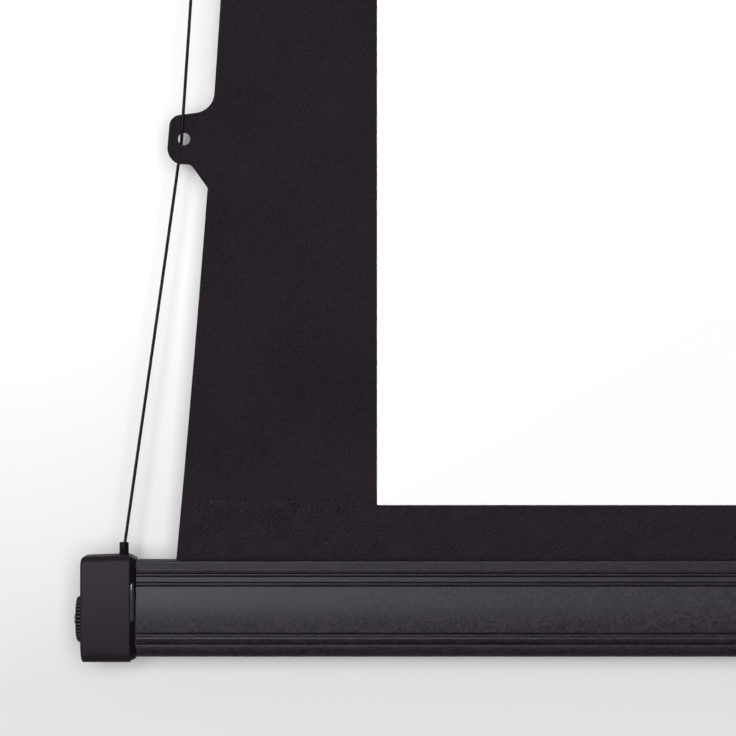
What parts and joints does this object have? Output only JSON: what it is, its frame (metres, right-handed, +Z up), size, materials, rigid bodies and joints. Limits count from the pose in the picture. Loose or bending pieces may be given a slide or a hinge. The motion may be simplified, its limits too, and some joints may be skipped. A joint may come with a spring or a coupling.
{
  "type": "tab-tensioned projector screen",
  "caption": "Motorised drop-down projection screen whose black-bordered white fabric is kept flat by side tabs, taut cords and ratchet knobs on a weighted bottom bar.",
  "frame": {"origin": "on the wall plane behind the case, midway between the two wall brackets, at the height of the roller's axis", "axes": "+X to the viewer's right along the case, +Y into the wall, +Z up"},
  "size_m": [2.098, 0.0895, 1.2184],
  "materials": {
    "black_aluminium": "extruded, with a fine satin black powder coat",
    "black_steel": "folded sheet with a satin black powder coat",
    "black_plastic": "moulded, satin black",
    "grey_plastic": "moulded, plain grey",
    "black_fabric": "black coated screen fabric with a fine matt grain",
    "white_fabric": "smooth matt white screen surface",
    "black_cord": "black twisted synthetic cord",
    "bright_steel": "zinc-plated steel",
    "spring_steel": "polished steel",
    "bare_aluminium": "plain extruded aluminium",
    "bronze": "sintered bronze bearing"
  },
  "bodies": {
    "case": {"case_shell": "black_aluminium", "case_end_cap_left": "black_plastic", "case_end_cap_right": "black_plastic", "case_screw_front_upper_left": "bright_steel", "case_screw_front_lower_left": "bright_steel", "case_screw_rear_left": "bright_steel", "case_screw_front_upper_right": "bright_steel", "case_screw_front_lower_right": "bright_steel", "case_screw_rear_right": "bright_steel", "wall_bracket_left": "black_steel", "wall_bracket_right": "black_steel", "bracket_screw_left": "bright_steel", "bracket_screw_right": "bright_steel", "motor_bracket": "bright_steel", "motor_head": "black_plastic", "motor_tube": "bright_steel", "cable_gland": "black_plastic", "idler_bracket": "bright_steel", "idler_pin": "bright_steel", "screen_sheet": "black_fabric", "viewing_surface": "white_fabric", "tension_cord_left": "black_cord", "tension_cord_right": "black_cord"},
    "roller": {"roller_tube": "bare_aluminium", "fabric_roll": "black_fabric", "roller_spline": "grey_plastic", "limit_ring": "grey_plastic", "drive_wheel": "grey_plastic", "drive_shaft": "bright_steel", "idler_plug": "grey_plastic", "idler_bush": "bronze", "cord_anchor_left": "bright_steel", "cord_anchor_right": "bright_steel"},
    "bottom_bar": {"bottom_bar": "black_aluminium", "weight_rod": "bright_steel", "hem_rod": "grey_plastic", "bottom_strip": "black_fabric", "bar_end_cap_left": "black_plastic", "bar_end_cap_right": "black_plastic", "tension_chassis_left": "grey_plastic", "tension_chassis_right": "grey_plastic", "chassis_screw_front_left": "bright_steel", "chassis_screw_rear_left": "bright_steel", "chassis_screw_front_right": "bright_steel", "chassis_screw_rear_right": "bright_steel", "ratchet_pawl_left": "spring_steel", "ratchet_pawl_right": "spring_steel", "cord_nipple_left": "black_plastic", "cord_nipple_right": "black_plastic"},
    "tension_knob_left": {"tension_knob_left": "black_plastic", "cord_spool_left": "spring_steel", "knob_screw_left": "bright_steel"},
    "tension_knob_right": {"tension_knob_right": "black_plastic", "cord_spool_right": "spring_steel", "knob_screw_right": "bright_steel"},
    "limit_screw_up": {"limit_screw_up": "bright_steel"},
    "limit_screw_down": {"limit_screw_down": "bright_steel"}
  },
  "joints": [
    {"name": "bar_lift", "type": "slide", "parent": "case", "child": "bottom_bar", "axis": [0, 0, 1], "range_m": [0, 1.0636], "deforming": ["screen_sheet", "viewing_surface", "tension_cord_left", "tension_cord_right"]},
    {"name": "roller_spin", "type": "hinge", "parent": "case", "child": "roller", "pos_m": [0, -0.0507, 0], "axis": [1, 0, 0], "range_deg": [0, 2283]},
    {"name": "tension_knob_left_turn", "type": "hinge", "parent": "bottom_bar", "child": "tension_knob_left", "pos_m": [-1.0035, -0.024, -1.13765], "axis": [1, 0, 0], "range_deg": [0, 720], "deforming": ["ratchet_pawl_left"]},
    {"name": "tension_knob_right_turn", "type": "hinge", "parent": "bottom_bar", "child": "tension_knob_right", "pos_m": [1.0035, -0.024, -1.13765], "axis": [1, 0, 0], "range_deg": [0, 720], "deforming": ["ratchet_pawl_right"]},
    {"name": "limit_screw_up_turn", "type": "hinge", "parent": "case", "child": "limit_screw_up", "pos_m": [-1.0264, -0.0447, -0.0173], "axis": [0, 0, 1], "continuous": true},
    {"name": "limit_screw_down_turn", "type": "hinge", "parent": "case", "child": "limit_screw_down", "pos_m": [-1.0264, -0.0567, -0.0173], "axis": [0, 0, 1], "continuous": true}
  ],
  "couplings": [
    {"joint": "roller_spin", "follows": "bar_lift", "rad_per_m": 37.453}
  ]
}
